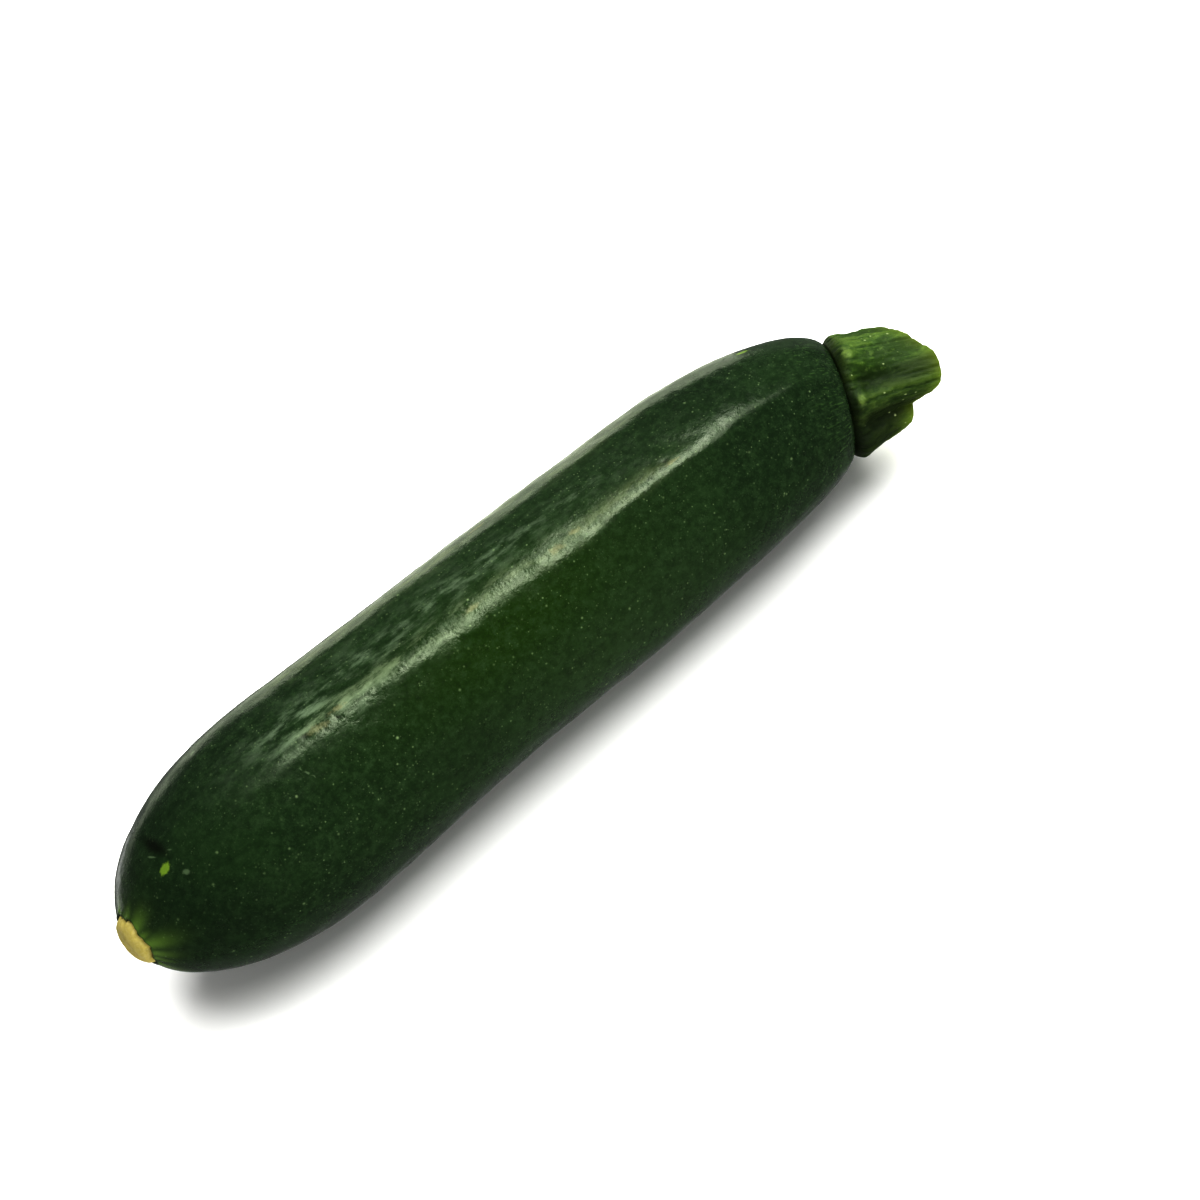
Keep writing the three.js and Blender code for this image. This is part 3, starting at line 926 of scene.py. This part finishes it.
def frayed_masks(skin, place, marks):
    """The oval marks with edges that a noise frays."""
    noise = add(skin, "ShaderNodeTexNoise", {}, {
        "Vector": place, "Scale": per_metre(1.3), "Detail": 6, "Roughness": 0.75})
    masks = {}
    for name, ragged, reach, strength in FRAYED_MARKS:
        shifted = add(skin, "ShaderNodeMath", MULTIPLY_ADD, {
            0: noise.outputs["Fac"], 1: ragged, 2: marks[name]})
        frayed = add(skin, "ShaderNodeMapRange", SMOOTH, {
            "Value": shifted.outputs["Value"], "From Min": ragged / 2, "From Max": ragged / 2 + reach})
        mask = add(skin, "ShaderNodeMath", MULTIPLY, {0: frayed.outputs["Result"], 1: strength})
        masks[name] = mask.outputs["Value"]
    return masks


def blemish_layers(skin, grain, dusty, marks, frayed):
    """Streaks into the crease, rays round the scar, ridges worn pale and partly painted with sheen,
    scuffs, dents dark partly with painted shade, and spots.
    """
    streak_noise = add(skin, "ShaderNodeTexNoise", {}, {
        "Vector": grain, "Scale": per_metre(0.6), "Detail": 2})
    streak = add(skin, "ShaderNodeMapRange", SMOOTH, {
        "Value": streak_noise.outputs["Fac"], "From Min": 0.54, "From Max": 0.74, "To Max": 0.3})
    streaked = add(skin, "ShaderNodeMath", MULTIPLY, {0: streak.outputs["Result"], 1: marks["shoulder"]})
    ray = add(skin, "ShaderNodeMath", MULTIPLY, {0: marks["scar_ray"], 1: 0.64})
    # Ridges worn pale, partly real wear and partly a painted sheen that tints their highlights
    rub_and_sheen = add(skin, "ShaderNodeMapRange", SMOOTH, {
        "Value": dusty, "From Min": 0.4, "From Max": 0.66, "To Max": 0.4})
    rubbed_and_sheen = add(skin, "ShaderNodeMath", MULTIPLY, {0: rub_and_sheen.outputs["Result"], 1: marks["rubbed_and_sheen"]})
    # The dents' own dark, deepened by painted shade in them
    dent_dark_and_shade = add(skin, "ShaderNodeMath", MULTIPLY, {0: marks["dent"], 1: 0.95})
    return [
        (streaked.outputs["Value"], 0x55743F),
        (ray.outputs["Value"], 0x627E34),
        (rubbed_and_sheen.outputs["Value"], 0x747E58),
        (frayed["pale_spot"], 0x7F9470),
        (frayed["tan_scuff"], 0x7E7A55),
        (dent_dark_and_shade.outputs["Value"], 0x060C04),
        (frayed["yellow_spot"], 0x607828),
    ]


def waxy_skin():
    """Zucchini skin, grown and waxy: nearly black green that clears to fresh green in clouds, strewn with
    pale lenticels at most a millimetre wide, glossy where the wax is whole and duller where it is worn
    or scuffed. Fine bumps break up its highlights."""
    skin = new_material("zucchini_skin_waxy")
    place = add(skin, "ShaderNodeTexCoord", {}, {}).outputs["Object"]
    grain = add(skin, "ShaderNodeAttribute", {"attribute_name": "grain"}, {}).outputs["Vector"]
    marks = {}
    for name in SKIN_FIELDS:
        marks[name] = add(skin, "ShaderNodeAttribute", {"attribute_name": name}, {}).outputs["Fac"]
    dusty = add(skin, "ShaderNodeTexNoise", {}, {
        "Vector": grain, "Scale": per_metre(2.4), "Detail": 5, "Roughness": 0.65}).outputs["Fac"]
    # Specks and lenticels are fewer at the blossom end
    fewer = add(skin, "ShaderNodeMapRange", {}, {
        "Value": marks["older"], "From Max": 0.16, "To Min": 0.35, "To Max": 0.8}).outputs["Result"]

    frayed = frayed_masks(skin, place, marks)
    shade = grown_green(skin, place, dusty, fewer, marks)
    shade = painted(skin, shade, lenticel_layers(skin, place, fewer))
    shade = painted(skin, shade, blemish_layers(skin, grain, dusty, marks, frayed))

    dull_noise = add(skin, "ShaderNodeTexNoise", {}, {
        "Vector": place, "Scale": per_metre(4), "Detail": 5, "Roughness": 0.65})
    dull = add(skin, "ShaderNodeMapRange", {}, {
        "Value": dull_noise.outputs["Fac"], "From Min": 0.35, "From Max": 0.65,
        "To Min": 0.13, "To Max": 0.3})
    worn = add(skin, "ShaderNodeMath", MULTIPLY_ADD, {
        0: marks["worn_wax"], 1: 0.2, 2: dull.outputs["Result"]})
    rough = add(skin, "ShaderNodeMath", MULTIPLY_ADD, {
        0: frayed["tan_scuff"], 1: 0.3, 2: worn.outputs["Value"]})
    peel = add(skin, "ShaderNodeTexNoise", {}, {
        "Vector": place, "Scale": per_metre(0.9), "Detail": 2, "Roughness": 0.6})
    raised = add(skin, "ShaderNodeBump", {}, {
        "Strength": 1, "Distance": 0.06 * MM, "Height": peel.outputs["Fac"]})
    return finish_material(skin, {
        "Base Color": shade, "Roughness": rough.outputs["Value"], "IOR": 1.42,
        "Specular IOR Level": 0.26, "Specular Tint": colour(0xF4FFE2),
        "Normal": raised.outputs["Normal"]})


def corky_scar():
    """Cork that closed the blossom's scar: dry, matt, tan yellow, browner in patches and gritty."""
    cork = new_material("blossom_scar_cork_dried")
    place = add(cork, "ShaderNodeTexCoord", {}, {}).outputs["Object"]
    patch = add(cork, "ShaderNodeTexNoise", {}, {
        "Vector": place, "Scale": per_metre(3), "Detail": 5, "Roughness": 0.6})
    brown = add(cork, "ShaderNodeMapRange", SMOOTH, {
        "Value": patch.outputs["Fac"], "From Min": 0.55, "From Max": 0.75, "To Max": 0.6})
    grit = add(cork, "ShaderNodeTexNoise", {}, {"Vector": place, "Scale": per_metre(0.5), "Detail": 3})
    light = add(cork, "ShaderNodeMapRange", {}, {
        "Value": grit.outputs["Fac"], "From Min": 0.4, "From Max": 0.75, "To Max": 0.5})
    shade = painted(cork, colour(0x958A4A), (
        (brown.outputs["Result"], 0x826E38),
        (light.outputs["Result"], 0xA49A6A),
    ))
    raised = add(cork, "ShaderNodeBump", {}, {
        "Strength": 0.7, "Distance": 0.1 * MM, "Height": grit.outputs["Fac"]})
    return finish_material(cork, {
        "Base Color": shade, "Roughness": 0.75, "IOR": 1.4, "Specular IOR Level": 0.3,
        "Normal": raised.outputs["Normal"]})


def fibrous_stem():
    """Skin of the stem, grown in fibres along it: mid green, paler on the fibres' crests and the rib
    feet, yellow green beside the cut, with pale stubs of bristles, and painted shade in the grooves,
    on two ribs and at the crease."""
    stem = new_material("zucchini_stem_fibrous")
    grain = add(stem, "ShaderNodeAttribute", {"attribute_name": "grain"}, {}).outputs["Vector"]
    place = add(stem, "ShaderNodeTexCoord", {}, {}).outputs["Object"]
    marks = {}
    for name in STEM_FIELDS:
        marks[name] = add(stem, "ShaderNodeAttribute", {"attribute_name": name}, {}).outputs["Fac"]
    thread = add(stem, "ShaderNodeTexNoise", {}, {
        "Vector": grain, "Scale": per_metre(0.55), "Detail": 7, "Roughness": 0.75})
    blotch = add(stem, "ShaderNodeTexNoise", {}, {
        "Vector": place, "Scale": per_metre(1.6), "Detail": 6, "Roughness": 0.75})
    streaked = add(stem, "ShaderNodeMath", MULTIPLY_ADD, {
        0: thread.outputs["Fac"], 1: 1.6, 2: marks["fibre"]})
    foot_blotch = add(stem, "ShaderNodeMath", MULTIPLY, {0: marks["rib_foot"], 1: blotch.outputs["Fac"]})
    masks = {}
    for name, followed, start, full, strength in (
        ("crest", streaked.outputs["Value"], 0.62, 1.05, 0.8),
        ("between", streaked.outputs["Value"], 0.76, 0.48, 0.5),
        ("speckled", blotch.outputs["Fac"], 0.53, 0.68, 0.4),
        # sunk: painted shade in the grooves
        ("sunk", marks["groove"], 0.07, 0.22, 0.75),
        ("foot", foot_blotch.outputs["Value"], 0.14, 0.3, 0.42),
        ("stub", marks["prickle"], 0.4, 0.9, 0.7),
    ):
        masks[name] = add(stem, "ShaderNodeMapRange", SMOOTH, {
            "Value": followed, "From Min": start, "From Max": full, "To Max": strength}).outputs["Result"]
    # Painted shade on the ribs and at the crease, and the cut's own yellow green rim
    for name, strength in (("painted_shade", 0.8), ("near_cut", 0.6), ("crease_painted_shade", 0.85)):
        masks[name] = add(stem, "ShaderNodeMath", MULTIPLY, {0: marks[name], 1: strength}).outputs["Value"]
    shade = painted(stem, colour(0x304A14), (
        (masks["crest"], 0x506626),
        (masks["between"], 0x1E2E0C),
        (masks["speckled"], 0x6E8842),
        (masks["sunk"], 0x18270A),
        (masks["painted_shade"], 0x0E1706),
        (masks["near_cut"], 0x68781C),
        (masks["crease_painted_shade"], 0x101A08),
        (masks["foot"], 0x7A9048),
        (masks["stub"], 0xA0AC7C),
    ))
    raised = add(stem, "ShaderNodeBump", {}, {
        "Strength": 1, "Distance": 0.16 * MM, "Height": streaked.outputs["Value"]})
    return finish_material(stem, {
        "Base Color": shade, "Roughness": 0.55, "IOR": 1.42, "Specular IOR Level": 0.25,
        "Normal": raised.outputs["Normal"]})


def cut_pith():
    """The stem's cut, torn through soft pith: pale yellow green, pitted, drying to tan in patches, with
    a greener ring under the skin."""
    pith = new_material("zucchini_stem_cut_pith")
    place = add(pith, "ShaderNodeTexCoord", {}, {}).outputs["Object"]
    middle = add(pith, "ShaderNodeAttribute", {"attribute_name": "to_middle"}, {}).outputs["Fac"]
    patch = add(pith, "ShaderNodeTexNoise", {}, {
        "Vector": place, "Scale": per_metre(4), "Detail": 5, "Roughness": 0.65})
    dried = add(pith, "ShaderNodeMapRange", SMOOTH, {
        "Value": patch.outputs["Fac"], "From Min": 0.52, "From Max": 0.68, "To Max": 0.7})
    pores = add(pith, "ShaderNodeTexVoronoi", {}, {"Vector": place, "Scale": per_metre(0.9)})
    pore = add(pith, "ShaderNodeMapRange", SMOOTH, {
        "Value": pores.outputs["Distance"], "From Min": 0.3, "From Max": 0.1, "To Max": 0.45})
    ring = add(pith, "ShaderNodeMapRange", SMOOTH, {
        "Value": middle, "From Min": 0.22, "From Max": 0.06, "To Max": 0.8})
    shade = painted(pith, colour(0x9DA272), (
        (pore.outputs["Result"], 0x7C8654),
        (dried.outputs["Result"], 0x8A7850),
        (ring.outputs["Result"], 0x5C7028),
    ))
    raised = add(pith, "ShaderNodeBump", {}, {
        "Strength": 0.7, "Distance": 0.2 * MM, "Height": pores.outputs["Distance"]})
    return finish_material(pith, {
        "Base Color": shade, "Roughness": 0.7, "IOR": 1.4, "Specular IOR Level": 0.3,
        "Normal": raised.outputs["Normal"]})


def pale_floor():
    """A large matt white disc just under the zucchini, which its gloss doesn't mirror."""
    turn = np.linspace(0, 2 * np.pi, FLOOR_CORNERS, endpoint=False)
    level = np.full(FLOOR_CORNERS, -FLOOR_GAP)
    rim = np.stack([FLOOR_RADIUS * np.cos(turn), FLOOR_RADIUS * np.sin(turn), level], -1) * MM
    mesh = bpy.data.meshes.new("floor")
    mesh.from_pydata(rim.tolist(), [], [list(range(FLOOR_CORNERS))])
    paper = new_material("white_paper_matt")
    finish_material(paper, {"Base Color": colour(0xF4F4F2), "Roughness": 0.9, "Specular IOR Level": 0})
    mesh.materials.append(paper)
    floor = bpy.data.objects.new("floor", mesh)
    floor.visible_glossy = False
    bpy.context.scene.collection.objects.link(floor)


def studio_light():
    """The lamps, a dim even room, and a white backdrop that only the camera sees."""
    for name, place, aim, spin, width, depth, watts, hex_value in LAMPS:
        light = bpy.data.lights.new(name, "AREA")
        light.shape = "RECTANGLE"
        light.size = width * MM
        light.size_y = depth * MM
        light.energy = watts
        light.color = colour(hex_value)[:3]
        lamp = bpy.data.objects.new(name, light)
        facing = (Vector(place) - Vector(aim)).to_track_quat("Z", "Y").to_matrix().to_4x4()
        spun = Matrix.Rotation(math.radians(spin), 4, "Z")
        lamp.matrix_world = Matrix.Translation(Vector(place) * MM) @ facing @ spun
        lamp.visible_camera = False
        lamp.visible_diffuse = name in MATT_LAMPS
        lamp.visible_glossy = name not in MATT_LAMPS
        bpy.context.scene.collection.objects.link(lamp)
    room = bpy.data.worlds.new("room")
    room.use_nodes = True
    background = room.node_tree.nodes["Background"]
    background.inputs["Color"].default_value = (1, 1, 1, 1)
    ray = add(room, "ShaderNodeLightPath", {}, {})
    seen = add(room, "ShaderNodeMapRange", {}, {
        "Value": ray.outputs["Is Camera Ray"], "To Min": ROOM_STRENGTH, "To Max": BACKDROP_STRENGTH})
    room.node_tree.links.new(seen.outputs["Result"], background.inputs["Strength"])
    bpy.context.scene.world = room


def photograph_camera():
    """Looks from the eye to the aim, then rolls about the line of sight."""
    lens = bpy.data.cameras.new("camera")
    lens.lens = CAMERA_LENS
    lens.sensor_width = CAMERA_SENSOR
    lens.clip_start = CAMERA_NEAREST * MM
    camera = bpy.data.objects.new("camera", lens)
    eye = Vector(CAMERA_EYE) * MM
    looking = (Vector(CAMERA_AIM) * MM - eye).to_track_quat("-Z", "Y").to_matrix().to_4x4()
    rolled = Matrix.Rotation(math.radians(CAMERA_ROLL), 4, "Z")
    camera.matrix_world = Matrix.Translation(eye) @ looking @ rolled
    bpy.context.scene.collection.objects.link(camera)
    bpy.context.scene.camera = camera


fruit_points, fruit_fields = fruit_surface()
stem_points, stem_fields = stem_surface()

# The frame's fruit says where the blossom end and the middle of the width are
fruit_low, fruit_high = (np.array(corner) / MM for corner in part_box("fruit"))
own_low = fruit_points.min(axis=(0, 1))
own_high = fruit_points.max(axis=(0, 1))
shift = np.array([
    fruit_low[0] - own_low[0],
    (fruit_low[1] + fruit_high[1] - own_low[1] - own_high[1]) / 2,
    fruit_low[2],
])

fruit = surface_object(
    "fruit_skin", fruit_points + shift, fruit_fields, [corky_scar(), waxy_skin()], [0, SCAR_ROWS])
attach(fruit, "root")
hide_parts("fruit")

stem = surface_object(
    "stem_ribs", stem_points + shift, stem_fields, [fibrous_stem(), cut_pith()],
    [0, FOOT_ROWS + SIDE_ROWS + EDGE_ROWS // 2])
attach(stem, "root")
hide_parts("stem")

pale_floor()
studio_light()
photograph_camera()
bpy.context.scene.view_settings.view_transform = "Standard"
bpy.context.scene.view_settings.gamma = PRINT_GAMMA
